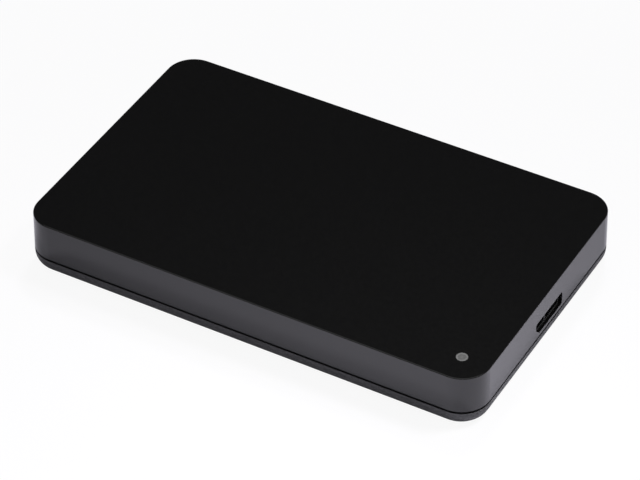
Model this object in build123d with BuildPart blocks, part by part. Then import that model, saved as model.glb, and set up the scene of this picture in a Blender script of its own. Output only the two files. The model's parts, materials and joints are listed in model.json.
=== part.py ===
"""Portable external hard drive: a two-part moulded case around a 2.5-inch drive and its bridge board.

Millimetres. X runs along the case with the port at +X, Z is up, and the origin is the centre of the base.
The sizes run from the inside out: platter and voice coil set the drive, and the drive sets the case.
"""
import os
from math import acos, atan2, cos, degrees, hypot, radians, sin, sqrt

from build123d import *

os.makedirs("parts", exist_ok=True)

# Clearances shared by the whole assembly
press_gap = 0.02
running_gap = 0.05
seat_gap = 0.1

# Height of the drive, from its underside to its lid
board_recess = 2.4
deck_thickness = 1.3
arm_floor_gap = 0.6
arm_thickness = 0.8
flexure_thickness = 0.12
slider_height = 0.18
fly_gap = 0.065
platter_thickness = 0.8
lid_room = 1.47
lid_thickness = 0.6
gasket_thickness = 0.4

# Platter and spindle
platter_radius = 32.5
platter_gap = 0.8
hub_radius = 10.0
hub_flange_radius = 12.2
hub_floor_gap = 0.3
clamp_radius = 12.0
clamp_thickness = 0.6
shaft_radius = 1.5
sleeve_radius = 4.2
motor_floor = 0.9
motor_well_gap = 1.9
rotor_radius = 9.9
rotor_thickness = 1.0
rotor_lift = 0.7
air_gap = 0.3
stator_slots = 9
stator_ring = 1.8
lamination = 0.7
tooth_width = 1.2
tooth_shoe = 0.6
winding = 0.5

# Rotary arm and voice coil
arm_overreach = 3.5
arm_hub_radius = 6.0
arm_hub_room = 3.74
pivot_radius = 2.0
bearing_radius = 4.0
park_gap = 2.5
arm_root_width = 9.0
arm_tip_width = 4.4
arm_tip_gap = 12.0
slider_length = 1.2
slider_width = 0.9
lift_tab_length = 2.0
lift_tab_width = 0.5
ramp_gap = 0.3
ramp_finger_width = 1.8
ramp_post_width = 3.0
ramp_post_gap = 2.5
ramp_rim_gap = 0.4
coil_start = 9.2
coil_length = 10.2
coil_start_width = 6.4
coil_end_width = 14.0
coil_band = 2.2
coil_thickness = 1.0
coil_gap = 0.2
coil_skew = 18.0
fork_wall = 1.2
fork_gap = 2.4
yoke_thickness = 0.9
yoke_hub_gap = 1.5
yoke_post_size = 2.0
yoke_post_gap = 0.88
yoke_post_edge = 2.6
yoke_edge_gap = 0.4
yoke_first_angle = -73.0
yoke_last_angle = 4.0
magnet_angle_trim = 2.5
bay_side_trim = 1.5
bay_end_trim = 0.7
bay_gap = 0.8
park_bay_gap = 1.3

# Walls of the drive's base and lid
base_front_wall = 1.3
base_side_wall = 1.625
base_bay_wall = 1.925
base_end_wall = 1.9
base_corner = 2.4
gasket_width = 0.7
lid_margin = 0.5
lid_panel_margin = 6.0
lid_panel_depth = 0.2
breather_size = 7.0
filter_length = 7.0
filter_depth = 2.0
filter_angle = 316.0
bracket_length = 7.0
bracket_width = 5.0
flex_thickness = 0.15
flex_height = 3.0
flex_start_angle = 50.0

# Electronics of the drive
drive_board_length = 47.8
drive_board_width = 56.4
drive_board_thickness = 0.8
drive_board_ledge = 2.0
drive_chip_height = 0.9
chip_size = 6.0
controller_size = 9.0
chip_margin = 9.0

# Plug on the drive and socket on the bridge board
contact_pitch = 1.27
signal_contacts = 7
power_contacts = 15
blade_margin = 0.9
blade_spacing = 3.0
blade_thickness = 1.2
blade_length = 4.6
plug_wall = 1.0
plug_back = 1.4
plug_shift = 4.6
socket_height = 3.0
socket_flange_depth = 4.5
contact_thickness = 0.15
contact_width = 0.8
plug_contact_length = 3.6
socket_contact_length = 2.6

# Bridge board and micro-B port
bridge_board_thickness = 1.0
bridge_board_lift = 3.6
bridge_board_side = 28.5
bridge_board_gap = 0.3
port_y = 0.4
port_width = 13.6
port_height = 3.6
port_corner = 0.6
port_key = 1.7
port_setback = 0.8
usb_width = 12.2
usb_height = 2.9
usb_depth = 6.8
usb_sheet = 0.3
usb_wide_bay = 6.5
usb_bay_gap = 0.7
usb_back = 1.6
usb_tongue_thickness = 0.6
usb_contact_pitch = 0.65
usb_contacts_per_bay = 5
light_radius = 1.48
light_inset_x = 7.4
light_inset_y = 7.5
light_flange_size = 4.4
light_flange_height = 0.6
led_height = 0.7
light_air_gap = 0.4
led_length = 2.0
led_width = 1.25
board_part_gap = 1.5
bridge_chip_size = 7.0
bridge_chip_height = 0.9
flash_length = 5.0
flash_width = 4.0
flash_height = 1.5
crystal_length = 3.2
crystal_width = 2.5
crystal_height = 0.8
inductor_size = 4.0
inductor_height = 1.8
capacitor_length = 1.6
capacitor_width = 0.8
capacitor_pitch = 2.4
capacitor_count = 7

# Moulded case
wall = 1.5
top_wall = 1.6
floor_wall = 1.6
side_room = 0.775
end_room = 1.0
board_room = 16.8
lower_pad_thickness = 1.8
upper_pad_thickness = 0.5
corner_radius = 7.3
top_edge_radius = 0.3
base_edge_radius = 3.7
wall_draft = 1.0
seam_height = 4.45
seam_gap = 0.55
lip = 0.8
tongue_reach = 1.65
tongue_overhang = 0.1
tab_width = 6.0
side_tab_spacing = 40.0
end_tab_spacing = 50.0
tab_thickness = 0.6
tab_reach = 1.9
bead_depth = 0.3
bead_height = 0.7
rib_width = 1.0
rib_offset = 6.0
post_size = 4.0
peg_size = 1.6
stop_width = 24.0
stop_spacing = 36.0
bumper_width = 25.0
pad_width = 8.0
pad_length = 50.0

# Levels, from the table up
drive_z = floor_wall + lower_pad_thickness
deck_z = drive_z + board_recess + deck_thickness
arm_z = deck_z + arm_floor_gap
head_stack = flexure_thickness + slider_height + fly_gap
platter_z = arm_z + arm_thickness + head_stack
platter_top = platter_z + platter_thickness
top_arm_z = platter_top + head_stack
arm_top = top_arm_z + arm_thickness
lid_z = arm_top + lid_room
base_top = lid_z - gasket_thickness
drive_top = lid_z + lid_thickness
ceiling_z = drive_top + upper_pad_thickness
case_height = ceiling_z + top_wall
coil_z = platter_z + (platter_thickness - coil_thickness) / 2
magnet_z = deck_z + yoke_thickness
magnet_thickness = coil_z - coil_gap - magnet_z
upper_magnet_z = coil_z + coil_thickness + coil_gap
upper_yoke_z = upper_magnet_z + magnet_thickness

# Plan of the drive
pocket_radius = platter_radius + platter_gap
drive_width = 2 * (pocket_radius + base_side_wall)
coil_end = coil_start + coil_length
coil_reach = hypot(coil_end, coil_end_width / 2)
post_orbit = coil_reach + yoke_post_gap + yoke_post_size / 2
bay_drop = post_orbit - bay_side_trim
bay_reach = post_orbit + bay_end_trim
bay_radius = post_orbit + yoke_post_size / 2 + bay_gap
pivot_reach = platter_radius + arm_hub_room + arm_hub_radius
pivot_y = bay_drop + base_bay_wall - drive_width / 2
pivot_dx = sqrt(pivot_reach**2 - pivot_y**2)
drive_length = base_front_wall + pocket_radius + pivot_dx + bay_reach + base_end_wall

# Plan of the case
case_length = drive_length + end_room + board_room + 2 * wall
case_width = drive_width + 2 * (side_room + wall)
drive_x0 = -case_length / 2 + wall + end_room
drive_x1 = drive_x0 + drive_length
drive_x = (drive_x0 + drive_x1) / 2
spindle_x = drive_x0 + base_front_wall + pocket_radius
pivot_x = spindle_x + pivot_dx
light_x = case_length / 2 - light_inset_x
light_y = light_inset_y - case_width / 2

# Swing of the arm, seen from its pivot
arm_length = platter_radius + arm_overreach
spindle_angle = degrees(atan2(-pivot_y, -pivot_dx))


def swing(reach, track):
    """Angle at the pivot from the spindle to a point at this reach that lies over this track radius."""
    return degrees(acos((reach**2 + pivot_reach**2 - track**2) / (2 * reach * pivot_reach)))


park_swing = swing(arm_length, platter_radius + park_gap)
park_angle = spindle_angle - park_swing
lift_tab_start = arm_length + slider_length / 2
lift_tab_end = lift_tab_start + lift_tab_length
ramp_start = lift_tab_start + ramp_gap
ramp_end = ramp_start + ramp_finger_width
ramp_post_end = ramp_end + ramp_post_width / 3
ramp_side = -ramp_post_gap - ramp_post_width
ramp_rim = ramp_start * sin(radians(park_swing - swing(ramp_start, platter_radius))) - ramp_rim_gap


def turned(angle):
    """Plane at the pivot whose X axis points along this angle."""
    return Plane(
        origin=(pivot_x, pivot_y, 0),
        x_dir=(cos(radians(angle)), sin(radians(angle)), 0),
        z_dir=(0, 0, 1),
    )


spindle_axis = Plane(origin=(spindle_x, 0, 0))
pivot_axis = turned(0)
arm_axis = turned(park_angle)
coil_axis = turned(park_angle + 180 + coil_skew)

# Bridge board and port levels
bridge_z = floor_wall + bridge_board_lift
bridge_top = bridge_z + bridge_board_thickness
port_z = bridge_top + usb_height / 2
usb_x = case_length / 2 - port_setback
connector_z = bridge_top + socket_height / 2

# Plug and socket widths
signal_width = (signal_contacts - 1) * contact_pitch + 2 * blade_margin
power_width = (power_contacts - 1) * contact_pitch + 2 * blade_margin
blades_width = signal_width + blade_spacing + power_width
socket_width = blades_width + 2 * plug_wall
plug_mouth = socket_width + 4 * seat_gap
plug_width = plug_mouth + 2 * plug_wall
plug_y0 = pivot_y + plug_shift
plug_y = plug_y0 + plug_width / 2
signal_y = plug_y - blades_width / 2 + signal_width / 2
power_y = plug_y + blades_width / 2 - power_width / 2
plug_mouth_height = socket_height + 3 * seat_gap
plug_depth = blade_length + plug_back
plug_notch_x = drive_x1 - plug_depth - bridge_board_gap
drive_board_top = drive_z + drive_board_thickness
drive_board_x0 = drive_x1 - drive_board_length
plug_top = connector_z + plug_mouth_height / 2 + plug_wall / 2

# Seam between the two covers
lip_z = seam_height + seam_gap
tongue_top = lip_z + tongue_reach
tongue_inset = lip + running_gap
cover_inset = wall + tongue_overhang
floor_chamfer = 2 * base_edge_radius - floor_wall - cover_inset - sqrt(2) * (base_edge_radius - wall)
tab_top = tongue_top + tab_reach
tab_inset = wall + running_gap + tab_thickness / 2
bead_z = tab_top - bead_height - seat_gap
side_tab_xs = (-side_tab_spacing, 0, side_tab_spacing)
end_tab_ys = (-end_tab_spacing / 2, end_tab_spacing / 2)
side_tabs = [(x, side * (case_width / 2 - tab_inset)) for x in side_tab_xs for side in (-1, 1)]
end_tabs = [(tab_inset - case_length / 2, y) for y in end_tab_ys]
board_posts = [(drive_x1 + post_size, side * (bridge_board_side - post_size)) for side in (-1, 1)]
stop_ys = (-stop_spacing / 2, stop_spacing / 2)

# Top cover: one moulded shell, walls drafted out to the lip, stepped inside to take the tongue,
# with a port opening that is keyed by one cut corner
port_diagonal = Axis((0, 0, 0), (1, 1, 0))
side_ribs = [
    (x, side * (drive_width / 2 + (side_room + seat_gap) / 2))
    for x in [tab_x + rib_offset for tab_x in side_tab_xs]
    for side in (-1, 1)
]

with BuildPart() as top_cover:
    with BuildSketch(Plane.XY.offset(lip_z)):
        RectangleRounded(case_length, case_width, corner_radius)
    extrude(amount=case_height - lip_z, taper=wall_draft)
    fillet(top_cover.faces().sort_by(Axis.Z)[-1].edges(), radius=top_edge_radius)
    with BuildSketch(Plane.XY.offset(lip_z)):
        RectangleRounded(case_length - 2 * wall, case_width - 2 * wall, corner_radius - wall)
    extrude(amount=ceiling_z - lip_z, mode=Mode.SUBTRACT)
    with BuildSketch(Plane.XY.offset(lip_z)):
        RectangleRounded(case_length - 2 * lip, case_width - 2 * lip, corner_radius - lip)
    extrude(amount=tongue_reach + seat_gap, mode=Mode.SUBTRACT)
    with BuildSketch(Plane.XY.offset(tab_top + seat_gap)):
        with Locations(*side_ribs):
            Rectangle(rib_width, side_room - seat_gap)
    extrude(until=Until.NEXT)
    with BuildSketch(Plane.XY.offset(bead_z - seat_gap)):
        with Locations(*[(x, side * case_width / 2) for x in side_tab_xs for side in (-1, 1)]):
            Rectangle(tab_width + 4 * seat_gap, 2 * (wall + running_gap))
        with Locations(*[(-case_length / 2, y) for y in end_tab_ys]):
            Rectangle(2 * (wall + running_gap), tab_width + 4 * seat_gap)
        RectangleRounded(
            case_length - 2 * (wall - bead_depth - seat_gap),
            case_width - 2 * (wall - bead_depth - seat_gap),
            corner_radius - wall,
            mode=Mode.INTERSECT,
        )
    extrude(amount=bead_height + 2 * seat_gap, mode=Mode.SUBTRACT)
    with BuildSketch(
        Plane(origin=(case_length / 2, port_y, port_z), x_dir=(0, 1, 0), z_dir=(1, 0, 0))
    ) as port_outline:
        Rectangle(port_width, port_height)
        fillet(port_outline.vertices().sort_by(port_diagonal)[1:], radius=port_corner)
        chamfer(port_outline.vertices().sort_by(port_diagonal)[0], length=port_key)
    extrude(amount=-2 * wall, mode=Mode.SUBTRACT)
    with BuildSketch(Plane(origin=(light_x, light_y, ceiling_z))):
        Circle(light_radius + press_gap)
    extrude(amount=top_wall, mode=Mode.SUBTRACT)

top_cover.part.label = "top_cover"
export_step(top_cover.part, "parts/top_cover.step")

# Bottom cover: tray with a tongue that enters the top cover, snap tabs, board posts and drive stops
with BuildPart() as bottom_cover:
    with BuildSketch():
        RectangleRounded(case_length, case_width, corner_radius)
    extrude(amount=seam_height)
    fillet(bottom_cover.faces().sort_by(Axis.Z)[0].edges(), radius=base_edge_radius)
    with BuildSketch(Plane.XY.offset(seam_height)):
        RectangleRounded(
            case_length - 2 * tongue_inset,
            case_width - 2 * tongue_inset,
            corner_radius - tongue_inset,
        )
    extrude(amount=tongue_top - seam_height)
    with BuildSketch(Plane.XY.offset(floor_wall)):
        RectangleRounded(
            case_length - 2 * cover_inset,
            case_width - 2 * cover_inset,
            corner_radius - cover_inset,
        )
    extrude(amount=tongue_top - floor_wall, mode=Mode.SUBTRACT)
    chamfer(bottom_cover.edges().filter_by_position(Axis.Z, floor_wall, floor_wall), length=floor_chamfer)
    with BuildSketch(Plane.XY.offset(port_z - port_height / 2)):
        with Locations((case_length / 2, port_y)):
            Rectangle(4 * cover_inset, port_width + 4 * seat_gap)
    extrude(amount=port_height, mode=Mode.SUBTRACT)
    with BuildSketch(Plane.XY.offset(floor_wall)):
        with Locations(*side_tabs):
            Rectangle(tab_width, tab_thickness)
        with Locations(*end_tabs):
            Rectangle(tab_thickness, tab_width)
    extrude(amount=tab_top - floor_wall)
    with BuildSketch(Plane.XY.offset(bead_z)):
        with Locations(*[(x, y + (bead_depth if y > 0 else -bead_depth)) for x, y in side_tabs]):
            Rectangle(tab_width, tab_thickness)
        with Locations(*[(x - bead_depth, y) for x, y in end_tabs]):
            Rectangle(tab_thickness, tab_width)
    extrude(amount=bead_height)
    with BuildSketch(Plane.XY.offset(floor_wall)):
        with Locations(*board_posts):
            Rectangle(post_size, post_size)
        with Locations(*[(drive_x1 + seat_gap + rib_width / 2, y) for y in stop_ys]):
            Rectangle(rib_width, stop_width)
    extrude(amount=bridge_board_lift)
    with BuildSketch(Plane.XY.offset(bridge_z)):
        with Locations(*board_posts):
            Rectangle(peg_size, peg_size)
    extrude(amount=bridge_board_thickness)

bottom_cover.part.label = "bottom_cover"
export_step(bottom_cover.part, "parts/bottom_cover.step")

# Light pipe: a rod from the LED to the top face, stopped by a flange under the wall
with BuildPart() as light_pipe:
    with BuildSketch(Plane(origin=(light_x, light_y, bridge_top + led_height + light_air_gap))):
        Circle(light_radius)
    extrude(amount=case_height - bridge_top - led_height - light_air_gap)
    with BuildSketch(Plane(origin=(light_x, light_y, ceiling_z - light_flange_height))):
        Rectangle(light_flange_size, light_flange_size)
    extrude(amount=light_flange_height)

light_pipe.part.label = "light_pipe"
export_step(light_pipe.part, "parts/light_pipe.step")

# Cushions that hold the drive in the case
front_pad_x = drive_x0 + pad_width
lower_pad_xs = (front_pad_x, drive_board_x0 - pad_width)
upper_pad_xs = (front_pad_x, drive_x1 - 2 * pad_width)
for number, x in enumerate(lower_pad_xs, 1):
    with BuildPart() as lower_pad:
        with BuildSketch(Plane(origin=(x, 0, floor_wall))):
            Rectangle(pad_width, pad_length)
        extrude(amount=lower_pad_thickness)
    lower_pad.part.label = f"lower_pad_{number}"
    export_step(lower_pad.part, f"parts/lower_pad_{number}.step")

for number, x in enumerate(upper_pad_xs, 1):
    with BuildPart() as upper_pad:
        with BuildSketch(Plane(origin=(x, 0, drive_top))):
            Rectangle(pad_width, pad_length)
        extrude(amount=upper_pad_thickness)
    upper_pad.part.label = f"upper_pad_{number}"
    export_step(upper_pad.part, f"parts/upper_pad_{number}.step")

with BuildPart() as end_bumper:
    with BuildSketch(Plane(origin=(drive_x0 - end_room / 2, 0, tongue_top + 2 * seat_gap))):
        Rectangle(end_room, bumper_width)
    extrude(amount=base_top - tongue_top - 2 * seat_gap)

end_bumper.part.label = "end_bumper"
export_step(end_bumper.part, "parts/end_bumper.step")

# Drive base: casting with the platter well, the coil bay, the place where the heads park, the motor well
# and, from below, the recess for the drive's board and the notch for its plug
bay_x1 = drive_x1 - base_end_wall
bay_y0 = base_bay_wall - drive_width / 2
ramp_corner = arm_axis.from_local_coords((ramp_post_end, ramp_side, 0))
ramp_rim_corner = arm_axis.from_local_coords((ramp_post_end, ramp_rim, 0))
park_x0 = ramp_rim_corner.X - park_bay_gap
park_x1 = pivot_x + arm_hub_radius
park_y1 = ramp_corner.Y + park_bay_gap
with BuildPart() as drive_base:
    with BuildSketch(Plane(origin=(drive_x, 0, drive_z))) as base_outline:
        Rectangle(drive_length, drive_width)
        chamfer(base_outline.vertices(), length=base_corner)
    extrude(amount=base_top - drive_z)
    with BuildSketch(Plane.XY.offset(deck_z)):
        with Locations((pivot_x, pivot_y)):
            Circle(bay_radius)
        with Locations((bay_x1, bay_y0)):
            Rectangle(
                bay_x1 - spindle_x,
                park_y1 - bay_y0,
                align=(Align.MAX, Align.MIN),
                mode=Mode.INTERSECT,
            )
        with Locations((park_x0, pivot_y)):
            Rectangle(park_x1 - park_x0, park_y1 - pivot_y, align=(Align.MIN, Align.MIN))
        with Locations((plug_notch_x - base_end_wall, plug_y0 - base_end_wall)):
            Rectangle(
                plug_depth + 2 * base_end_wall,
                drive_width,
                align=(Align.MIN, Align.MIN),
                mode=Mode.SUBTRACT,
            )
        with Locations((spindle_x, 0)):
            Circle(pocket_radius)
    extrude(amount=base_top - deck_z, mode=Mode.SUBTRACT)
    with BuildSketch(spindle_axis.offset(drive_z + motor_floor)):
        Circle(rotor_radius + motor_well_gap)
    extrude(amount=deck_z - drive_z - motor_floor, mode=Mode.SUBTRACT)
    with BuildSketch(Plane.XY.offset(drive_z)):
        with Locations((drive_x1, 0)):
            Rectangle(
                drive_board_length + 2 * seat_gap,
                drive_board_width + 4 * seat_gap,
                align=(Align.MAX, Align.CENTER),
            )
    extrude(amount=drive_board_thickness, mode=Mode.SUBTRACT)
    with BuildSketch(Plane.XY.offset(drive_board_top)):
        with Locations((drive_x1 - drive_board_ledge, 0)):
            Rectangle(
                drive_board_length - 2 * drive_board_ledge,
                drive_board_width - 2 * drive_board_ledge,
                align=(Align.MAX, Align.CENTER),
            )
    extrude(amount=drive_z + board_recess - drive_board_top, mode=Mode.SUBTRACT)
    with BuildSketch(Plane.XY.offset(drive_z)):
        with Locations((plug_notch_x, plug_y)):
            Rectangle(2 * plug_depth, plug_width + 4 * seat_gap, align=(Align.MIN, Align.CENTER))
    extrude(amount=plug_top + seat_gap - drive_z, mode=Mode.SUBTRACT)

drive_base.part.label = "drive_base"
export_step(drive_base.part, "parts/drive_base.step")

# Gasket: a frame on the base's rim, outside the platter well
lid_length = drive_length - 2 * lid_margin
lid_width = drive_width - 2 * lid_margin
with BuildPart() as lid_gasket:
    with BuildSketch(Plane(origin=(drive_x, 0, base_top))) as gasket_outline:
        Rectangle(lid_length, lid_width)
        chamfer(gasket_outline.vertices(), length=base_corner)
        offset(amount=-gasket_width, kind=Kind.INTERSECTION, mode=Mode.SUBTRACT)
    extrude(amount=gasket_thickness)

lid_gasket.part.label = "lid_gasket"
export_step(lid_gasket.part, "parts/lid_gasket.step")

# Lid: stamped plate with a shallow sunk panel
with BuildPart() as drive_lid:
    with BuildSketch(Plane(origin=(drive_x, 0, lid_z))) as lid_outline:
        Rectangle(lid_length, lid_width)
        chamfer(lid_outline.vertices(), length=base_corner)
    extrude(amount=lid_thickness)
    with BuildSketch(Plane(origin=(drive_x, 0, drive_top))) as panel_outline:
        Rectangle(lid_length - 2 * lid_panel_margin, lid_width - 2 * lid_panel_margin)
        chamfer(panel_outline.vertices(), length=base_corner)
    extrude(amount=-lid_panel_depth, mode=Mode.SUBTRACT)

drive_lid.part.label = "drive_lid"
export_step(drive_lid.part, "parts/drive_lid.step")

# Breather filter: a pad on the underside of the lid
breather_plane = Plane(origin=(pivot_x + arm_hub_radius, pivot_y + 2 * arm_hub_radius, lid_z))
with BuildPart() as breather_filter:
    with BuildSketch(breather_plane):
        Rectangle(breather_size, breather_size)
    extrude(amount=-lid_room)

breather_filter.part.label = "breather_filter"
export_step(breather_filter.part, "parts/breather_filter.step")

# Recirculation filter: a pad that stands in the corner between platter well and coil bay
filter_reach = pocket_radius + 2 * filter_depth
filter_plane = Plane(
    origin=(
        spindle_x + filter_reach * cos(radians(filter_angle)),
        filter_reach * sin(radians(filter_angle)),
        deck_z,
    ),
    x_dir=(sin(radians(filter_angle)), -cos(radians(filter_angle)), 0),
    z_dir=(0, 0, 1),
)
with BuildPart() as recirculation_filter:
    with BuildSketch(filter_plane):
        Rectangle(filter_length, filter_depth)
    extrude(amount=arm_top - deck_z)

recirculation_filter.part.label = "recirculation_filter"
export_step(recirculation_filter.part, "parts/recirculation_filter.step")

# Spindle: bearing sleeve and stator stay on the base, hub, magnet, platter and clamp turn
hub_underside = deck_z + hub_floor_gap
hub_top = platter_top + clamp_thickness
sleeve_top = hub_underside - seat_gap
stator_radius = rotor_radius - rotor_thickness - air_gap
stator_bore = sleeve_radius + press_gap
tooth_root = stator_bore + stator_ring
shoe_root = stator_radius - tooth_shoe
stator_z = (drive_z + motor_floor + hub_underside - lamination) / 2
with BuildPart() as bearing_sleeve:
    with BuildSketch(spindle_axis.offset(drive_z + motor_floor)):
        Circle(sleeve_radius)
        Circle(shaft_radius + press_gap, mode=Mode.SUBTRACT)
    extrude(amount=sleeve_top - drive_z - motor_floor)

bearing_sleeve.part.label = "bearing_sleeve"
export_step(bearing_sleeve.part, "parts/bearing_sleeve.step")

with BuildPart() as stator_core:
    with BuildSketch(spindle_axis.offset(stator_z)):
        RegularPolygon(tooth_root, stator_slots)
        with PolarLocations((stator_bore + shoe_root) / 2, stator_slots):
            Rectangle(shoe_root - stator_bore, tooth_width)
        with PolarLocations((shoe_root + stator_radius) / 2 - running_gap, stator_slots):
            Rectangle(tooth_shoe, 3 * tooth_width)
        Circle(stator_bore, mode=Mode.SUBTRACT)
    extrude(amount=lamination)

stator_core.part.label = "stator_core"
export_step(stator_core.part, "parts/stator_core.step")

with BuildPart() as stator_coils:
    with BuildSketch(spindle_axis.offset(stator_z - winding)):
        with PolarLocations((tooth_root + shoe_root) / 2, stator_slots):
            Rectangle(shoe_root - tooth_root - 2 * seat_gap, tooth_width + 2 * winding)
    extrude(amount=lamination + 2 * winding)
    with BuildSketch(spindle_axis.offset(stator_z)):
        with PolarLocations((tooth_root + shoe_root) / 2, stator_slots):
            Rectangle(shoe_root - tooth_root, tooth_width)
    extrude(amount=lamination, mode=Mode.SUBTRACT)

stator_coils.part.label = "stator_coils"
export_step(stator_coils.part, "parts/stator_coils.step")

with BuildPart() as spindle_hub:
    with BuildSketch(spindle_axis.offset(drive_z + motor_floor + seat_gap)):
        Circle(shaft_radius)
    extrude(amount=hub_underside - drive_z - motor_floor - seat_gap)
    with BuildSketch(spindle_axis.offset(hub_underside)):
        Circle(hub_flange_radius)
    extrude(amount=platter_z - hub_underside)
    with BuildSketch(spindle_axis.offset(platter_z)):
        Circle(hub_radius)
    extrude(amount=hub_top - platter_z)

spindle_hub.part.label = "spindle_hub"
export_step(spindle_hub.part, "parts/spindle_hub.step")

with BuildPart() as rotor_magnet:
    with BuildSketch(spindle_axis.offset(drive_z + motor_floor + rotor_lift)):
        Circle(rotor_radius)
        Circle(rotor_radius - rotor_thickness, mode=Mode.SUBTRACT)
    extrude(amount=hub_underside - drive_z - motor_floor - rotor_lift)

rotor_magnet.part.label = "rotor_magnet"
export_step(rotor_magnet.part, "parts/rotor_magnet.step")

with BuildPart() as platter:
    with BuildSketch(spindle_axis.offset(platter_z)):
        Circle(platter_radius)
        Circle(hub_radius + running_gap, mode=Mode.SUBTRACT)
    extrude(amount=platter_thickness)

platter.part.label = "platter"
export_step(platter.part, "parts/platter.step")

with BuildPart() as platter_clamp:
    with BuildSketch(spindle_axis.offset(platter_top)):
        Circle(clamp_radius)
        Circle(hub_radius + press_gap, mode=Mode.SUBTRACT)
    extrude(amount=clamp_thickness)

platter_clamp.part.label = "platter_clamp"
export_step(platter_clamp.part, "parts/platter_clamp.step")

# Actuator: a post on the deck carries the bearing, the arm block, the coil and the two heads
with BuildPart() as pivot_post:
    with BuildSketch(pivot_axis.offset(deck_z)):
        Circle(pivot_radius)
    extrude(amount=lid_z - deck_z)

pivot_post.part.label = "pivot_post"
export_step(pivot_post.part, "parts/pivot_post.step")

with BuildPart() as pivot_bearing:
    with BuildSketch(pivot_axis.offset(arm_z)):
        Circle(bearing_radius)
        Circle(pivot_radius + running_gap, mode=Mode.SUBTRACT)
    extrude(amount=arm_top - arm_z)

pivot_bearing.part.label = "pivot_bearing"
export_step(pivot_bearing.part, "parts/pivot_bearing.step")

arm_tip = arm_length - arm_tip_gap
fork_end = coil_end - fork_gap
fork_end_width = coil_end_width - fork_gap * (coil_end_width - coil_start_width) / coil_length
with BuildPart() as arm_block:
    with BuildSketch(arm_axis.offset(arm_z)):
        Circle(arm_hub_radius)
    extrude(amount=arm_top - arm_z)
    for z in (arm_z, top_arm_z):
        with BuildSketch(arm_axis.offset(z)):
            Polygon(
                (0, -arm_root_width / 2),
                (arm_tip, -arm_tip_width / 2),
                (arm_tip, arm_tip_width / 2),
                (0, arm_root_width / 2),
                align=None,
            )
        extrude(amount=arm_thickness)
    with BuildSketch(coil_axis.offset(coil_z)):
        Polygon(
            (0, -coil_start_width / 2),
            (coil_start, -coil_start_width / 2 - fork_wall),
            (fork_end, -fork_end_width / 2 - fork_wall),
            (fork_end, fork_end_width / 2 + fork_wall),
            (coil_start, coil_start_width / 2 + fork_wall),
            (0, coil_start_width / 2),
            align=None,
        )
        Polygon(
            (coil_start - running_gap, -coil_start_width / 2 - running_gap),
            (coil_end, -coil_end_width / 2 - running_gap),
            (coil_end, coil_end_width / 2 + running_gap),
            (coil_start - running_gap, coil_start_width / 2 + running_gap),
            align=None,
            mode=Mode.SUBTRACT,
        )
    extrude(amount=coil_thickness)
    with BuildSketch(arm_axis.offset(arm_z)):
        Circle(bearing_radius + press_gap)
    extrude(amount=arm_top - arm_z, mode=Mode.SUBTRACT)

arm_block.part.label = "arm_block"
export_step(arm_block.part, "parts/arm_block.step")

with BuildPart() as voice_coil:
    with BuildSketch(coil_axis.offset(coil_z)):
        Polygon(
            (coil_start, -coil_start_width / 2),
            (coil_end, -coil_end_width / 2),
            (coil_end, coil_end_width / 2),
            (coil_start, coil_start_width / 2),
            align=None,
        )
        offset(amount=-coil_band, kind=Kind.INTERSECTION, mode=Mode.SUBTRACT)
    extrude(amount=coil_thickness)

voice_coil.part.label = "voice_coil"
export_step(voice_coil.part, "parts/voice_coil.step")

# Heads: each a thin suspension over or under its arm, with a lift tab at the tip and a slider
suspension_root = arm_tip - arm_tip_width / 2
heads = [
    (arm_z + arm_thickness, flexure_thickness),
    (top_arm_z - flexure_thickness, -slider_height),
]
for number, (flexure_z, slider_offset) in enumerate(heads, 1):
    with BuildPart() as head_suspension:
        with BuildSketch(arm_axis.offset(flexure_z)):
            Polygon(
                (suspension_root, -arm_tip_width / 2),
                (arm_tip, -arm_tip_width / 2),
                (lift_tab_start, -slider_width / 2),
                (lift_tab_start, slider_width / 2),
                (arm_tip, arm_tip_width / 2),
                (suspension_root, arm_tip_width / 2),
                align=None,
            )
            with Locations(((lift_tab_start + lift_tab_end) / 2, 0)):
                Rectangle(lift_tab_length, lift_tab_width)
        extrude(amount=flexure_thickness)
        with BuildSketch(arm_axis.offset(flexure_z + slider_offset)):
            with Locations((arm_length, 0)):
                Rectangle(slider_length, slider_width)
        extrude(amount=slider_height)
    head_suspension.part.label = f"head_suspension_{number}"
    export_step(head_suspension.part, f"parts/head_suspension_{number}.step")

# Load ramp: a finger level with the platter, on a post outside the swing of the heads
finger_drop = fly_gap + slider_height - running_gap
with BuildPart() as load_ramp:
    with BuildSketch(arm_axis.offset(deck_z)):
        Polygon(
            (ramp_start, ramp_side),
            (ramp_post_end, ramp_side),
            (ramp_post_end, -ramp_post_gap),
            (ramp_start, -ramp_post_gap),
            align=None,
        )
    extrude(amount=arm_top - deck_z)
    with BuildSketch(arm_axis.offset(platter_z - finger_drop)):
        Polygon(
            (ramp_start, ramp_side),
            (ramp_end, ramp_side),
            (ramp_end, ramp_rim),
            (ramp_start, ramp_rim),
            align=None,
        )
    extrude(amount=platter_thickness + 2 * finger_drop)

load_ramp.part.label = "load_ramp"
export_step(load_ramp.part, "parts/load_ramp.step")

# Voice coil motor: two steel yokes with a magnet each, held apart by posts
post_points = [
    (sqrt(post_orbit**2 - (bay_drop - yoke_post_edge) ** 2), yoke_post_edge - bay_drop),
    (bay_reach - yoke_post_edge, -sqrt(post_orbit**2 - (bay_reach - yoke_post_edge) ** 2)),
]


def wedge(first, last):
    """Corners of a wide wedge at the pivot between two angles."""
    far = 2 * bay_radius
    middle = (first + last) / 2
    return [(0, 0)] + [(far * cos(radians(a)), far * sin(radians(a))) for a in (first, middle, last)]


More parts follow.
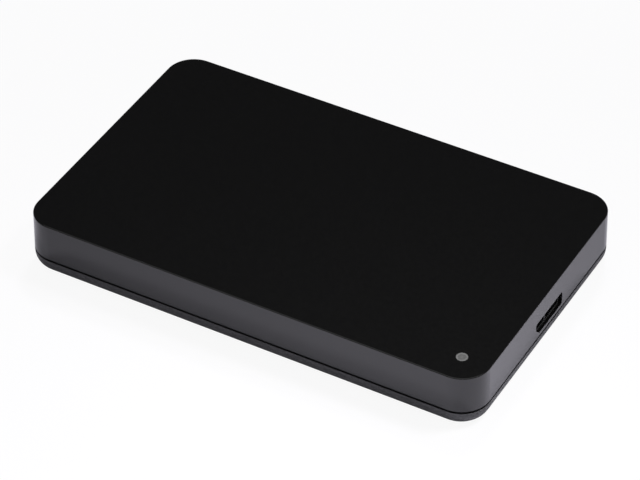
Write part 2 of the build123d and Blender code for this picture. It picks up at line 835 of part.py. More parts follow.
with BuildSketch() as yoke_outline:
    Circle(post_orbit + yoke_post_size / 2 + yoke_edge_gap)
    Circle(arm_hub_radius + yoke_hub_gap, mode=Mode.SUBTRACT)
    Polygon(*wedge(yoke_first_angle, yoke_last_angle), align=None, mode=Mode.INTERSECT)
    with Locations((bay_reach - yoke_edge_gap, yoke_edge_gap - bay_drop)):
        Rectangle(
            2 * bay_radius,
            bay_drop + plug_shift - base_end_wall - 2 * yoke_edge_gap,
            align=(Align.MAX, Align.MIN),
            mode=Mode.INTERSECT,
        )

with BuildSketch() as magnet_outline:
    Circle(coil_end)
    Circle(coil_start, mode=Mode.SUBTRACT)
    Polygon(
        *wedge(yoke_first_angle + magnet_angle_trim, yoke_last_angle - magnet_angle_trim),
        align=None,
        mode=Mode.INTERSECT,
    )

with BuildPart() as lower_yoke:
    with BuildSketch(pivot_axis.offset(deck_z)):
        add(yoke_outline.sketch)
    extrude(amount=yoke_thickness)
    with BuildSketch(pivot_axis.offset(magnet_z)):
        with Locations(*post_points):
            Rectangle(yoke_post_size, yoke_post_size)
    extrude(amount=upper_yoke_z - magnet_z)

lower_yoke.part.label = "lower_yoke"
export_step(lower_yoke.part, "parts/lower_yoke.step")

with BuildPart() as upper_yoke:
    with BuildSketch(pivot_axis.offset(upper_yoke_z)):
        add(yoke_outline.sketch)
    extrude(amount=yoke_thickness)

upper_yoke.part.label = "upper_yoke"
export_step(upper_yoke.part, "parts/upper_yoke.step")

for place, z in (("lower", magnet_z), ("upper", upper_magnet_z)):
    with BuildPart() as magnet:
        with BuildSketch(pivot_axis.offset(z)):
            add(magnet_outline.sketch)
        extrude(amount=magnet_thickness)
    magnet.part.label = f"{place}_magnet"
    export_step(magnet.part, f"parts/{place}_magnet.step")

# Flex bracket on the deck, and the ribbon that runs from it to the arm block
bracket_x = plug_notch_x - base_end_wall - seat_gap - bracket_length / 2
bracket_y = pivot_y + 2 * arm_hub_radius
with BuildPart() as flex_bracket:
    with BuildSketch(Plane(origin=(bracket_x, bracket_y, deck_z))):
        Rectangle(bracket_length, bracket_width)
    extrude(amount=arm_top - deck_z)

flex_bracket.part.label = "flex_bracket"
export_step(flex_bracket.part, "parts/flex_bracket.step")

flex_start = radians(flex_start_angle)
flex_root = arm_hub_radius + flex_thickness
with BuildPart() as flex_cable:
    with BuildSketch(Plane.XY.offset(arm_z)):
        with BuildLine():
            ThreePointArc(
                (pivot_x + flex_root * cos(flex_start), pivot_y + flex_root * sin(flex_start)),
                (pivot_x + arm_hub_radius, pivot_y + 1.5 * arm_hub_radius),
                (bracket_x - bracket_length / 2 - flex_thickness, bracket_y),
            )
        trace(line_width=flex_thickness)
    extrude(amount=flex_height)

flex_cable.part.label = "flex_cable"
export_step(flex_cable.part, "parts/flex_cable.step")

# Drive board under the deck, its chips facing up
with BuildPart() as drive_board:
    with BuildSketch(Plane.XY.offset(drive_z)):
        with Locations((drive_x1 - seat_gap, 0)):
            Rectangle(
                drive_board_length - seat_gap,
                drive_board_width,
                align=(Align.MAX, Align.CENTER),
            )
    extrude(amount=drive_board_thickness)

drive_board.part.label = "drive_board"
export_step(drive_board.part, "parts/drive_board.step")

chip_row_x = drive_board_x0 + chip_margin
controller_x = chip_row_x + chip_size + controller_size
drive_chips = [
    ("controller_chip", controller_x, -controller_size, controller_size),
    ("cache_chip", chip_row_x, -2 * chip_size, chip_size),
    ("motor_driver_chip", chip_row_x, chip_size, chip_size),
]
for name, x, y, size in drive_chips:
    with BuildPart() as chip:
        with BuildSketch(Plane(origin=(x, y, drive_board_top))):
            Rectangle(size, size)
        extrude(amount=drive_chip_height)
    chip.part.label = name
    export_step(chip.part, f"parts/{name}.step")

# Drive plug: housing open to the board side, with a signal blade and a power blade
blade_rows = [(signal_y, signal_width, signal_contacts), (power_y, power_width, power_contacts)]
plug_x0 = drive_x1 - plug_depth
with BuildPart() as drive_plug:
    with BuildSketch(Plane(origin=(plug_x0, plug_y, drive_board_top))):
        Rectangle(plug_depth, plug_width, align=(Align.MIN, Align.CENTER))
    extrude(amount=plug_top - drive_board_top)
    with BuildSketch(Plane(origin=(plug_x0 + plug_back, plug_y, connector_z - plug_mouth_height / 2))):
        Rectangle(plug_depth, plug_mouth, align=(Align.MIN, Align.CENTER))
    extrude(amount=plug_mouth_height, mode=Mode.SUBTRACT)
    with BuildSketch(Plane.XY.offset(connector_z - blade_thickness / 2)):
        for y, width, _ in blade_rows:
            with Locations((plug_x0 + plug_back - press_gap, y)):
                Rectangle(blade_length - 4 * seat_gap, width, align=(Align.MIN, Align.CENTER))
    extrude(amount=blade_thickness)

drive_plug.part.label = "drive_plug"
export_step(drive_plug.part, "parts/drive_plug.step")

contact_ys = [
    y + (index - (count - 1) / 2) * contact_pitch for y, _, count in blade_rows for index in range(count)
]
with BuildPart() as drive_plug_contacts:
    with BuildSketch(Plane.XY.offset(connector_z + blade_thickness / 2)):
        with Locations(*[(plug_x0 + plug_back, y) for y in contact_ys]):
            Rectangle(plug_contact_length, contact_width, align=(Align.MIN, Align.CENTER))
    extrude(amount=contact_thickness)

drive_plug_contacts.part.label = "drive_plug_contacts"
export_step(drive_plug_contacts.part, "parts/drive_plug_contacts.step")

# Bridge board: follows the case corner, with holes for the two pegs
bridge_x0 = drive_x1 + 2 * bridge_board_gap
bridge_x1 = case_length / 2 - cover_inset - bridge_board_gap
with BuildPart() as bridge_board:
    with BuildSketch(Plane.XY.offset(bridge_z)):
        RectangleRounded(
            case_length - 2 * (cover_inset + bridge_board_gap),
            case_width - 2 * (cover_inset + bridge_board_gap) - 2 * tab_thickness,
            corner_radius - cover_inset - bridge_board_gap,
        )
        with Locations((bridge_x0, bridge_board_side)):
            Rectangle(board_room, case_width, align=(Align.MIN, Align.MAX), mode=Mode.INTERSECT)
        with Locations(*board_posts):
            Rectangle(peg_size + 2 * seat_gap, peg_size + 2 * seat_gap, mode=Mode.SUBTRACT)
    extrude(amount=bridge_board_thickness)

bridge_board.part.label = "bridge_board"
export_step(bridge_board.part, "parts/bridge_board.step")

# Drive socket on the bridge board: its nose enters the plug and takes both blades
nose_x0 = plug_x0 + plug_back + 2 * seat_gap
with BuildPart() as drive_socket:
    with BuildSketch(Plane(origin=(nose_x0, plug_y, bridge_top))):
        Rectangle(
            bridge_x0 + socket_flange_depth - nose_x0,
            socket_width,
            align=(Align.MIN, Align.CENTER),
        )
    extrude(amount=socket_height)
    with BuildSketch(Plane(origin=(bridge_x0, plug_y, bridge_top))):
        Rectangle(socket_flange_depth, plug_width, align=(Align.MIN, Align.CENTER))
    extrude(amount=socket_height)
    with BuildSketch(Plane.XY.offset(connector_z - blade_thickness / 2 - seat_gap)):
        for y, width, _ in blade_rows:
            with Locations((nose_x0, y)):
                Rectangle(blade_length, width + 2 * seat_gap, align=(Align.MIN, Align.CENTER))
    extrude(amount=blade_thickness + 2 * contact_thickness + 4 * seat_gap, mode=Mode.SUBTRACT)

drive_socket.part.label = "drive_socket"
export_step(drive_socket.part, "parts/drive_socket.step")

with BuildPart() as drive_socket_contacts:
    with BuildSketch(Plane.XY.offset(connector_z + blade_thickness / 2 + contact_thickness)):
        with Locations(*[(nose_x0 + blade_length, y) for y in contact_ys]):
            Rectangle(socket_contact_length, contact_width, align=(Align.MAX, Align.CENTER))
    extrude(amount=contact_thickness)

drive_socket_contacts.part.label = "drive_socket_contacts"
export_step(drive_socket_contacts.part, "parts/drive_socket_contacts.step")

# Port: folded shell with two bays, wide and narrow, a tongue in each and a row of contacts on it
port_plane = Plane(origin=(usb_x, port_y, port_z), x_dir=(0, 1, 0), z_dir=(1, 0, 0))
bay_height = usb_height - 2 * usb_sheet
usb_narrow_bay = usb_width - 2 * usb_sheet - usb_bay_gap - usb_wide_bay
wide_bay_y = usb_width / 2 - usb_sheet - usb_wide_bay / 2
narrow_bay_y = usb_sheet + usb_narrow_bay / 2 - usb_width / 2
usb_bays = [(wide_bay_y, usb_wide_bay), (narrow_bay_y, usb_narrow_bay)]
with BuildPart() as usb_shell:
    with BuildSketch(port_plane):
        RectangleRounded(usb_width, usb_height, 2 * usb_sheet)
        for y, width in usb_bays:
            with Locations((y, 0)):
                Rectangle(width, bay_height, mode=Mode.SUBTRACT)
    extrude(amount=-usb_depth)

usb_shell.part.label = "usb_shell"
export_step(usb_shell.part, "parts/usb_shell.step")

for number, (y, width) in enumerate(usb_bays, 1):
    with BuildPart() as usb_tongue:
        with BuildSketch(port_plane.offset(-usb_depth)):
            with Locations((y, 0)):
                Rectangle(width - 2 * usb_sheet - 2 * running_gap, bay_height - 2 * running_gap)
        extrude(amount=usb_back)
        with BuildSketch(port_plane.offset(-usb_depth)):
            with Locations((y, 0)):
                Rectangle(width - 4 * usb_sheet, usb_tongue_thickness)
        extrude(amount=usb_depth - usb_sheet)
    usb_tongue.part.label = f"usb_tongue_{number}"
    export_step(usb_tongue.part, f"parts/usb_tongue_{number}.step")

usb_contact_ys = [
    y + (index - (usb_contacts_per_bay - 1) / 2) * usb_contact_pitch
    for y, _ in usb_bays
    for index in range(usb_contacts_per_bay)
]
with BuildPart() as usb_contacts:
    with BuildSketch(port_plane.offset(-usb_sheet * 3)):
        with Locations(*[(y, usb_tongue_thickness / 2 + contact_thickness / 2) for y in usb_contact_ys]):
            Rectangle(usb_contact_pitch / 2, contact_thickness)
    extrude(amount=usb_back + usb_sheet * 3 - usb_depth)

usb_contacts.part.label = "usb_contacts"
export_step(usb_contacts.part, "parts/usb_contacts.step")

# Parts on the bridge board
chip_x = bridge_x0 + capacitor_length + board_part_gap + bridge_chip_size / 2
chip_y = plug_y0 - board_part_gap - bridge_chip_size / 2
flash_x = chip_x - (bridge_chip_size - flash_length) / 2
flash_y = chip_y - bridge_chip_size / 2 - board_part_gap - flash_width / 2
crystal_x = bridge_x1 - board_part_gap / 2 - crystal_length / 2
inductor_x = bridge_x1 - board_part_gap / 2 - inductor_size / 2
inductor_y = flash_y - inductor_size - board_part_gap
bridge_parts = [
    ("bridge_chip", chip_x, chip_y, bridge_chip_size, bridge_chip_size, bridge_chip_height),
    ("flash_chip", flash_x, flash_y, flash_length, flash_width, flash_height),
    ("crystal", crystal_x, flash_y, crystal_length, crystal_width, crystal_height),
    ("inductor", inductor_x, inductor_y, inductor_size, inductor_size, inductor_height),
    ("indicator_led", light_x, light_y, led_length, led_width, led_height),
]
for name, x, y, length, width, height in bridge_parts:
    with BuildPart() as board_part:
        with BuildSketch(Plane(origin=(x, y, bridge_top))):
            Rectangle(length, width)
        extrude(amount=height)
    board_part.part.label = name
    export_step(board_part.part, f"parts/{name}.step")

capacitor_x = bridge_x0 + board_part_gap / 2 + capacitor_length / 2
capacitor_ys = [plug_y0 - (index + 1) * capacitor_pitch for index in range(capacitor_count)]
with BuildPart() as capacitors:
    with BuildSketch(Plane.XY.offset(bridge_top)):
        with Locations(*[(capacitor_x, y) for y in capacitor_ys]):
            Rectangle(capacitor_length, capacitor_width)
    extrude(amount=capacitor_width)

capacitors.part.label = "capacitors"
export_step(capacitors.part, "parts/capacitors.step")
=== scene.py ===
"""Looks of the portable hard drive: camera, studio and the finish of every piece."""
import json
import math

import bpy
from mathutils import Matrix, Vector


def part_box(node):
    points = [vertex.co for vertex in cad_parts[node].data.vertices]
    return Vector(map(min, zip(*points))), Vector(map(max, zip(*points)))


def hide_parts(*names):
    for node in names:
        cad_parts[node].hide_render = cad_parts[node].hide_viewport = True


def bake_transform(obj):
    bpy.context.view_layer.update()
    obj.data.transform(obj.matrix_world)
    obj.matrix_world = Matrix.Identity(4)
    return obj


MM = 0.001

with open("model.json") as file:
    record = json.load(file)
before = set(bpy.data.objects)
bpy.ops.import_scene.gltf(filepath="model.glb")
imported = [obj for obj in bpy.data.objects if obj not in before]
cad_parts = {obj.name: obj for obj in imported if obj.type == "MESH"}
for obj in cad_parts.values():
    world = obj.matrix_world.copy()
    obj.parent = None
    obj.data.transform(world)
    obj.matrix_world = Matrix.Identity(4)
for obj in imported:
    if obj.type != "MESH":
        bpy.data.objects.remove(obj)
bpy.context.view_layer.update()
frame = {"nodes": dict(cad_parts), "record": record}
nodes = frame["nodes"]
cover_low, cover_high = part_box("top_cover")


def centre_of(node):
    """Middle of a node's box at rest."""
    low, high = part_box(node)
    return (low + high) / 2


def rgb(red, green, blue):
    """Opaque colour."""
    return (red, green, blue, 1.0)


def grey(level):
    """Opaque colour of one level."""
    return rgb(level, level, level)


# Camera at the photograph's viewing angle: angles in degrees, sensor in millimetres
view_azimuth = 29.4168
view_elevation = 40.3617
view_roll = -0.2051
view_distance = 755.48 * MM
view_target = Vector((5.361 * MM, -9.829 * MM, cover_high.z))
clip_near = 10 * MM
clip_far = 50.0
focal_pixels = 3222.86
frame_pixels = 640
sensor_width = 36.0

# Floor: its tint, how white it is to the camera and to reflections near by and far off, and its cove
floor_tint = rgb(0.888, 0.868, 0.975)
camera_white = 0.92
near_mirror_white = 0.05
far_mirror_white = 0.4
far_mirror_from = 0.7
far_mirror_to = 1.4
middle_radius = 0.05
flat_radius = 2.4
cove_radius = 0.6
cove_steps = 10
floor_sides = 96
floor_drop = 0.01 * MM

# Lamps: places in metres, levels as the brightness that a white floor gets from each lamp
base_middle = (0, 0, 0)
room_tint = rgb(0.97, 0.95, 1.0)
room_light = 0.05
key_place = (-0.1238, 0.4522, 0.7682)
key_size = 0.155
key_level = 0.338
overhead_place = (0.059, -0.158, 1.0)
overhead_size = 1.68
overhead_level = 0.41
pool_place = (0.2444, 0.1140, 0.4871)
pool_aim = (0.0513, -0.0979, 0.0)
pool_size = 0.125
pool_level = 1.14
pool_spread = math.radians(32.1)

# Finishes: where a blend of two colours begins and ends on a pattern, and the usual grain and relief
tone_from = 0.3
tone_to = 0.7
usual_grain = 0.4 * MM
usual_relief = 0.005 * MM

# Patterns: detail of noise, stretch of lines drawn along X, axis of turned rings, period of an unscaled wave
usual_detail = 3.0
along_x = (0.06, 1, 1)
disc_axis = centre_of("platter")
wave_period = math.pi / 10

# Case: clouding of its gloss, and the parting groove between its covers, with the painted shade that darkens
# it and the lower cover's edge
cloud_size = 22 * MM
case_detail = 2.0
groove_height = 0.55 * MM
groove_high = cover_low.z
groove_low = groove_high - groove_height
groove_shade_edge = 0.09 * MM
groove_shade_tone = 0.01

# Lens: its levels, with a brighter ring painted as a highlight, and the painted shade of the gap round it,
# both from its middle out as shares of its radius, and its frost
lens_radius = 1.48 * MM
lens_highlight_levels = ((0.1, 0.125), (0.4, 0.10), (0.6, 0.105), (0.78, 0.165), (0.95, 0.125))
lens_gap_shade_from = 0.92
lens_gap_shade_to = 0.96
lens_gap_shade_tone = 0.006
lens_gloss = (0.3, 0.45)
frost_size = 0.5 * MM
frost_relief = 0.01 * MM
frost_waver = 0.25

# Circuit boards: tracks in rows, plated holes with their radius as a share of their pitch, and the mask
track_length = 2.7 * MM
track_pitch = 0.7 * MM
track_width = 0.09 * MM
track_blur = 0.2
track_relief = 0.03 * MM
hole_pitch = 2.2 * MM
hole_share = 0.12
hole_plating = rgb(0.70, 0.50, 0.20)
mask_grain = 1.5 * MM
mask_gloss = (0.25, 0.4)


def add_camera():
    """Camera at the photograph's viewing angle."""
    azimuth = math.radians(view_azimuth)
    elevation = math.radians(view_elevation)
    roll = math.radians(view_roll)
    back = Vector((
        math.sin(azimuth) * math.cos(elevation),
        -math.cos(azimuth) * math.cos(elevation),
        math.sin(elevation),
    ))
    level = Vector((0, 0, 1)).cross(back).normalized()
    upright = back.cross(level)
    right = level * math.cos(roll) + upright * math.sin(roll)
    up = upright * math.cos(roll) - level * math.sin(roll)
    data = bpy.data.cameras.new("camera")
    data.sensor_width = sensor_width
    data.lens = focal_pixels / frame_pixels * sensor_width
    data.clip_start = clip_near
    data.clip_end = clip_far
    camera = bpy.data.objects.new("camera", data)
    placed = Matrix((right, up, back)).transposed().to_4x4()
    placed.translation = view_target + back * view_distance
    camera.matrix_world = placed
    bpy.context.collection.objects.link(camera)
    bpy.context.scene.camera = camera


# Node trees

class Graph:
    """Short way to write a node tree."""

    def __init__(self, tree):
        self.tree = tree
        tree.nodes.clear()

    def add(self, kind, inputs=None, **settings):
        """A node with its settings and its input values or links."""
        node = self.tree.nodes.new(kind)
        for name, value in settings.items():
            setattr(node, name, value)
        for name, value in (inputs or {}).items():
            self.put(node.inputs[name], value)
        return node

    def put(self, socket, value):
        """Sets a socket, or links it where the value is another socket."""
        if isinstance(value, bpy.types.NodeSocket):
            self.tree.links.new(value, socket)
        else:
            socket.default_value = value

    def math(self, operation, first, second=0.0):
        """Result of a sum on one or two values."""
        return self.add("ShaderNodeMath", {0: first, 1: second}, operation=operation).outputs[0]


def new_material(name, surface):
    """Material with the surface that a function adds to its graph."""
    material = bpy.data.materials.new(name)
    material.use_nodes = True
    graph = Graph(material.node_tree)
    graph.add("ShaderNodeOutputMaterial", {"Surface": surface(graph)})
    return material


def local_place(graph, centre=(0, 0, 0), stretch=(1, 1, 1)):
    """Coordinates on the piece, measured from a centre."""
    place = graph.add("ShaderNodeTexCoord").outputs["Object"]
    moved = graph.add("ShaderNodeVectorMath", {0: place, 1: tuple(centre)}, operation="SUBTRACT")
    scaled = graph.add("ShaderNodeVectorMath", {0: moved.outputs[0], 1: stretch}, operation="MULTIPLY")
    return scaled.outputs[0]


def length_of(graph, vector):
    """Length of a vector."""
    return graph.add("ShaderNodeVectorMath", {0: vector}, operation="LENGTH").outputs["Value"]


def blend(graph, factor, first, second):
    """Second colour over the first by a factor."""
    node = graph.add("ShaderNodeMix", {"Factor": factor, "A": first, "B": second}, data_type="RGBA")
    return node.outputs["Result"]


def ramp(graph, factor, stops):
    """Colours that change with a factor; each stop is a place on it and the colour there."""
    node = graph.add("ShaderNodeValToRGB", {"Fac": factor})
    elements = node.color_ramp.elements
    elements.remove(elements[1])
    elements[0].position, elements[0].color = stops[0]
    for place, colour in stops[1:]:
        elements.new(place).color = colour
    return node.outputs["Color"]


def two_tone(graph, factor, low, high):
    """Two colours blended by a factor."""
    return ramp(graph, factor, ((tone_from, low), (tone_to, high)))


def span(graph, value, low, high, from_low=0.0, from_high=1.0):
    """A value spread over a range, and held at its ends."""
    limits = {"From Min": from_low, "From Max": from_high, "To Min": low, "To Max": high}
    return graph.add("ShaderNodeMapRange", {"Value": value, **limits}).outputs["Result"]


def bumped(graph, height, relief):
    """Normal of a surface raised by this relief where the height is 1."""
    bump = graph.add("ShaderNodeBump", {"Height": height, "Strength": 1.0, "Distance": relief})
    return bump.outputs["Normal"]


def shaded(graph, **sockets):
    """Principled surface; a socket's name is written with _ for each space."""
    inputs = {name.replace("_", " "): value for name, value in sockets.items()}
    return graph.add("ShaderNodeBsdfPrincipled", inputs).outputs["BSDF"]


# Studio

def add_floor():
    """Pale floor that curves up all round, white to the camera, and keeps a faint shadow."""
    profile = [(middle_radius, 0.0)]
    for step in range(cove_steps + 1):
        turn = math.pi / 2 * step / cove_steps
        profile.append((flat_radius + cove_radius * math.sin(turn), cove_radius * (1 - math.cos(turn))))
    points = []
    for radius, height in profile:
        for side in range(floor_sides):
            angle = 2 * math.pi * side / floor_sides
            points.append((radius * math.cos(angle), radius * math.sin(angle), height - floor_drop))
    faces = [tuple(range(floor_sides))]
    for ring in range(len(profile) - 1):
        for side in range(floor_sides):
            here = ring * floor_sides + side
            there = ring * floor_sides + (side + 1) % floor_sides
            faces.append((here, here + floor_sides, there + floor_sides, there))
    mesh = bpy.data.meshes.new("floor")
    mesh.from_pydata(points, [], faces)
    mesh.materials.append(new_material("floor", floor_surface))
    floor = bpy.data.objects.new("floor", mesh)
    bpy.context.collection.objects.link(floor)


def floor_surface(graph):
    """Matte cool white: mostly plain white to the camera, and partly to reflections, more so far off."""
    away = length_of(graph, local_place(graph))
    mirror_white = span(graph, away, near_mirror_white, far_mirror_white, far_mirror_from, far_mirror_to)
    paths = graph.add("ShaderNodeLightPath").outputs
    seen = graph.math("MULTIPLY", paths["Is Camera Ray"], camera_white)
    mirrored = graph.math("MAXIMUM", paths["Is Glossy Ray"], paths["Is Transmission Ray"])
    share = graph.math("MAXIMUM", seen, graph.math("MULTIPLY", mirrored, mirror_white))
    matte = graph.add("ShaderNodeBsdfDiffuse", {"Color": floor_tint}).outputs["BSDF"]
    white = graph.add("ShaderNodeEmission", {"Color": grey(1.0), "Strength": 1.0}).outputs["Emission"]
    return graph.add("ShaderNodeMixShader", {"Fac": share, 1: matte, 2: white}).outputs["Shader"]


def add_world():
    """Dim even room light."""
    world = bpy.data.worlds.new("studio")
    bpy.context.scene.world = world
    world.use_nodes = True
    graph = Graph(world.node_tree)
    room = graph.add("ShaderNodeBackground", {"Color": room_tint, "Strength": room_light})
    graph.add("ShaderNodeOutputWorld", {"Surface": room.outputs["Background"]})


def add_lamp(name, place, aim, size, level, spread=math.pi, mirrored=True):
    """Round soft box that gives a white floor this level where it aims."""
    towards = Vector(place) - Vector(aim)
    distance = towards.length
    slant = towards.z / distance
    # A lamp of narrow spread needs only this share of the power
    half = spread / 2
    share = 1 - half / math.tan(half)
    data = bpy.data.lights.new(name, "AREA")
    data.shape = "DISK"
    data.size = size
    data.spread = spread
    data.energy = level * math.pi ** 2 * distance ** 2 / slant * share
    lamp = bpy.data.objects.new(name, data)
    lamp.location = place
    lamp.rotation_mode = "QUATERNION"
    lamp.rotation_quaternion = (-towards).to_track_quat("-Z", "Y")
    lamp.visible_glossy = mirrored
    bpy.context.collection.objects.link(lamp)


# Patterns: each gives a function that adds a factor from 0 to 1 to a graph

def noise(size, detail=usual_detail, stretch=(1, 1, 1)):
    """Cloudy grain about this many metres across; a stretch under 1 draws it out along that axis."""
    def pattern(graph):
        inputs = {"Vector": local_place(graph, stretch=stretch), "Scale": 1 / size, "Detail": detail}
        return graph.add("ShaderNodeTexNoise", inputs).outputs["Fac"]
    return pattern


def pores(size):
    """Open cells of foam and sintered metal."""
    def pattern(graph):
        inputs = {"Vector": local_place(graph), "Scale": 1 / size}
        return graph.add("ShaderNodeTexVoronoi", inputs).outputs["Distance"]
    return pattern


def bands(period, axis="Z", waver=0.0):
    """Even lines across an axis, such as stacked sheets or wound wire."""
    def pattern(graph):
        inputs = {"Vector": local_place(graph), "Scale": wave_period / period, "Distortion": waver}
        return graph.add("ShaderNodeTexWave", inputs, bands_direction=axis).outputs["Fac"]
    return pattern


def rings(period, centre):
    """Even turned rings round an upright axis."""
    def pattern(graph):
        inputs = {"Vector": local_place(graph, centre), "Scale": wave_period / period}
        kinds = {"wave_type": "RINGS", "rings_direction": "Z"}
        return graph.add("ShaderNodeTexWave", inputs, **kinds).outputs["Fac"]
    return pattern


def weave(period):
    """Two crossed sets of threads."""
    def pattern(graph):
        return graph.math("MULTIPLY", bands(period, "X")(graph), bands(period, "Z")(graph))
    return pattern


# Finishes: each gives a function that adds a surface to a graph

def finish(pattern, low, high, gloss, metallic=0.0, relief=usual_relief):
    """Colour, roughness and relief that all follow one pattern."""
    def surface(graph):
        factor = pattern(graph)
        return shaded(
            graph,
            Base_Color=two_tone(graph, factor, low, high),
            Roughness=span(graph, factor, *gloss),
            Metallic=metallic,
            Normal=bumped(graph, factor, relief),
        )
    return surface


def moulded(low, high, gloss, grain=usual_grain):
    """Plastic, rubber or ceramic with a fine even grain."""
    return finish(noise(grain), low, high, gloss)


def metal(pattern, low, high, gloss, relief=usual_relief):
    """Bare metal."""
    return finish(pattern, low, high, gloss, metallic=1.0, relief=relief)


def drawn(low, high, gloss, grain=usual_grain):
    """Bare metal with fine lines along X."""
    return metal(noise(grain, stretch=along_x), low, high, gloss)


def case_plastic(low, high, gloss, grain, relief, ior, groove_shaded=False):
    """Black moulded plastic: fine grain, and a gloss that varies a little as handled plastic does."""
    def surface(graph):
        texture = noise(grain, case_detail)(graph)
        cloud = noise(cloud_size, case_detail)(graph)
        colour = two_tone(graph, texture, low, high)
        if groove_shaded:
            # Painted shade: the parting groove and the lower cover's top edge are darkened
            colour = blend(graph, groove_shade_mask(graph), colour, grey(groove_shade_tone))
        return shaded(
            graph,
            Base_Color=colour,
            Roughness=span(graph, cloud, *gloss),
            IOR=ior,
            Normal=bumped(graph, texture, relief),
        )
    return surface


def groove_shade_mask(graph):
    """Mask of the painted shade: 1 between the two covers' outer walls and on the lower one's edge, 0 above
    and below.
    """
    height = graph.add("ShaderNodeSeparateXYZ", {"Vector": local_place(graph)}).outputs["Z"]
    over = graph.math("GREATER_THAN", height, groove_low - groove_shade_edge)
    under = graph.math("LESS_THAN", height, groove_high)
    return graph.math("MULTIPLY", over, under)


def lens_plastic(centre):
    """Frosted grey lens: painted shade of the gap round it, a brighter ring painted as a highlight, and a
    duller middle.
    """
    def surface(graph):
        reach = length_of(graph, local_place(graph, centre, (1 / lens_radius, 1 / lens_radius, 0)))
        frost = noise(frost_size)(graph)
        waver = span(graph, frost, -frost_waver, frost_waver)
        # Levels from the middle out; the brighter ring near the rim is a painted highlight
        stops = [(place, grey(level)) for place, level in lens_highlight_levels]
        colour = ramp(graph, graph.math("ADD", reach, waver), stops)
        # Painted shade of the gap between lens and cover: a dark ring at the rim
        gap_shade = span(graph, reach, 0.0, 1.0, lens_gap_shade_from, lens_gap_shade_to)
        return shaded(
            graph,
            Base_Color=blend(graph, gap_shade, colour, grey(lens_gap_shade_tone)),
            Roughness=span(graph, frost, *lens_gloss),
            Normal=bumped(graph, frost, frost_relief),
        )
    return surface


def circuit_board(mask, track):
    """Solder mask over copper tracks, with small plated holes."""
    layout = {
        "Scale": 1 / MM,
        "Brick Width": track_length / MM,
        "Row Height": track_pitch / MM,
        "Mortar Size": track_width / MM,
        "Mortar Smooth": track_blur,
    }

    def surface(graph):
        tracks = graph.add("ShaderNodeTexBrick", {"Vector": local_place(graph), **layout}).outputs["Fac"]
        holes = graph.math("LESS_THAN", pores(hole_pitch)(graph), hole_share)
        return shaded(
            graph,
            Base_Color=blend(graph, holes, blend(graph, tracks, mask, track), hole_plating),
            Metallic=holes,
            Roughness=span(graph, noise(mask_grain)(graph), *mask_gloss),
            Normal=bumped(graph, tracks, track_relief),
        )
    return surface


# Looks: the finish of each material slot in the record

def case_looks():
    """Covers, lens and cushions."""
    return {
        "case_plastic": case_plastic(
            grey(0.0032), grey(0.0044), gloss=(0.12, 0.17), grain=0.9 * MM, relief=0.0006 * MM, ior=1.55),
        "lens": lens_plastic(centre_of("light_pipe")),
        "foam": finish(pores(0.45 * MM), grey(0.008), grey(0.05), gloss=(0.9, 1.0), relief=0.12 * MM),
        "bumper_rubber": moulded(grey(0.012), grey(0.024), gloss=(0.65, 0.8), grain=0.3 * MM),
    }


def bottom_cover_look():
    """Duller than the top cover, with a deeper grain, and painted shade in the parting groove."""
    return case_plastic(
        grey(0.030), grey(0.076), gloss=(0.45, 0.53), grain=0.42 * MM, relief=0.035 * MM,
        ior=1.47, groove_shaded=True)


def board_looks():
    """Circuit boards and what they carry."""
    gold = rgb(0.6, 0.4, 0.13), rgb(0.8, 0.56, 0.2)
    clay = rgb(0.27, 0.17, 0.09), rgb(0.4, 0.28, 0.17)
    cream = rgb(0.6, 0.6, 0.55), rgb(0.75, 0.75, 0.7)
    return {
        "bridge_fr4": circuit_board(mask=rgb(0.004, 0.055, 0.022), track=rgb(0.012, 0.13, 0.055)),
        "drive_fr4": circuit_board(mask=rgb(0.004, 0.025, 0.075), track=rgb(0.012, 0.07, 0.17)),
        "connector_plastic": moulded(grey(0.006), grey(0.011), gloss=(0.45, 0.6)),
        "contact_metal": drawn(*gold, gloss=(0.2, 0.32), grain=0.3 * MM),
        "shell_steel": drawn(grey(0.05), grey(0.08), gloss=(0.45, 0.6)),
        "chip_plastic": moulded(grey(0.010), grey(0.022), gloss=(0.55, 0.7), grain=0.12 * MM),
        "crystal_can": drawn(grey(0.5), grey(0.65), gloss=(0.25, 0.4), grain=0.3 * MM),
        "ferrite": finish(pores(0.2 * MM), grey(0.025), grey(0.06), gloss=(0.55, 0.75)),
        "capacitor_ceramic": moulded(*clay, gloss=(0.35, 0.5), grain=0.15 * MM),
        "led_body": moulded(*cream, gloss=(0.15, 0.3), grain=0.3 * MM),
    }


def housing_looks():
    """Drive base, lid, gasket and filters."""
    cast = noise(0.6 * MM, detail=5.0)
    cloth = weave(0.5 * MM)
    return {
        "cast_aluminium": metal(cast, grey(0.38), grey(0.55), gloss=(0.42, 0.6), relief=0.04 * MM),
        "lid_steel": drawn(grey(0.5), grey(0.62), gloss=(0.28, 0.42), grain=0.5 * MM),
        "gasket_rubber": moulded(grey(0.015), grey(0.03), gloss=(0.7, 0.85), grain=0.3 * MM),
        "filter_cloth": finish(cloth, grey(0.6), grey(0.85), gloss=(0.9, 1.0), relief=0.08 * MM),
    }


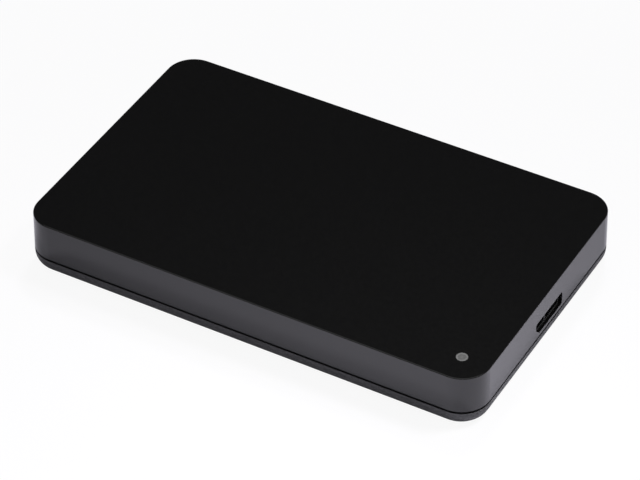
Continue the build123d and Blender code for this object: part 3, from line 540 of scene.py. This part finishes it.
def spindle_looks():
    """Motor, hub and disc."""
    bronze = rgb(0.45, 0.31, 0.12), rgb(0.64, 0.48, 0.22)
    copper = rgb(0.42, 0.14, 0.05), rgb(0.82, 0.36, 0.14)
    sheets = bands(0.2 * MM)
    wires = bands(0.16 * MM, waver=0.6)
    ground = bands(0.12 * MM)
    turned = rings(0.14 * MM, disc_axis)
    polished = rings(0.3 * MM, disc_axis)
    return {
        "bearing_bronze": metal(pores(0.18 * MM), *bronze, gloss=(0.35, 0.5)),
        "lamination": metal(sheets, grey(0.13), grey(0.27), gloss=(0.4, 0.55), relief=0.03 * MM),
        "copper_wire": metal(wires, *copper, gloss=(0.25, 0.4), relief=0.05 * MM),
        "shaft_steel": metal(ground, grey(0.52), grey(0.68), gloss=(0.15, 0.28)),
        "hub_aluminium": metal(turned, grey(0.6), grey(0.75), gloss=(0.2, 0.34)),
        "rotor_ferrite": finish(pores(0.25 * MM), grey(0.06), grey(0.13), gloss=(0.45, 0.65)),
        "platter_coat": metal(polished, grey(0.68), grey(0.78), gloss=(0.03, 0.07), relief=0.0002 * MM),
    }


def arm_looks():
    """Arm, heads, ramp, voice-coil motor and flexible circuit."""
    ivory = rgb(0.58, 0.54, 0.44), rgb(0.74, 0.7, 0.6)
    nickel = rgb(0.54, 0.53, 0.5), rgb(0.66, 0.65, 0.62)
    amber = rgb(0.26, 0.09, 0.015), rgb(0.5, 0.25, 0.05)
    return {
        "arm_aluminium": drawn(grey(0.55), grey(0.7), gloss=(0.25, 0.4)),
        "flexure_steel": drawn(grey(0.48), grey(0.64), gloss=(0.22, 0.36), grain=0.3 * MM),
        "ramp_plastic": moulded(*ivory, gloss=(0.4, 0.55)),
        "yoke_steel": metal(noise(2.5 * MM), grey(0.43), grey(0.58), gloss=(0.22, 0.4)),
        "magnet_nickel": metal(noise(1.2 * MM), *nickel, gloss=(0.14, 0.28)),
        "polyimide": finish(bands(0.4 * MM), *amber, gloss=(0.3, 0.45)),
        "bracket_plastic": moulded(grey(0.04), grey(0.07), gloss=(0.45, 0.6)),
    }


def dress():
    """Gives every node the material of its slot, and the bottom cover its own."""
    looks = {**case_looks(), **board_looks(), **housing_looks(), **spindle_looks(), **arm_looks()}
    materials = {slot: new_material(slot, surface) for slot, surface in looks.items()}
    for row in frame["record"]["subparts"]:
        worn = nodes[row["node"]].data.materials
        worn.clear()
        worn.append(materials[row["material_slot"]])
    nodes["bottom_cover"].data.materials[0] = new_material("grained_plastic", bottom_cover_look())


def add_ribbon():
    """Flexible circuit as an object of its own: a copy of the flex cable node, which is hidden."""
    ribbon = bpy.data.objects.new("flex_ribbon", nodes["flex_cable"].data.copy())
    bpy.context.collection.objects.link(ribbon)
    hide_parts("flex_cable")
    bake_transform(ribbon)


add_camera()
add_floor()
add_world()
add_lamp("key", key_place, base_middle, key_size, key_level, mirrored=False)
add_lamp("overhead", overhead_place, base_middle, overhead_size, overhead_level)
add_lamp("pool", pool_place, pool_aim, pool_size, pool_level, pool_spread, mirrored=False)
dress()
add_ribbon()

bpy.context.scene.view_settings.view_transform = "Standard"
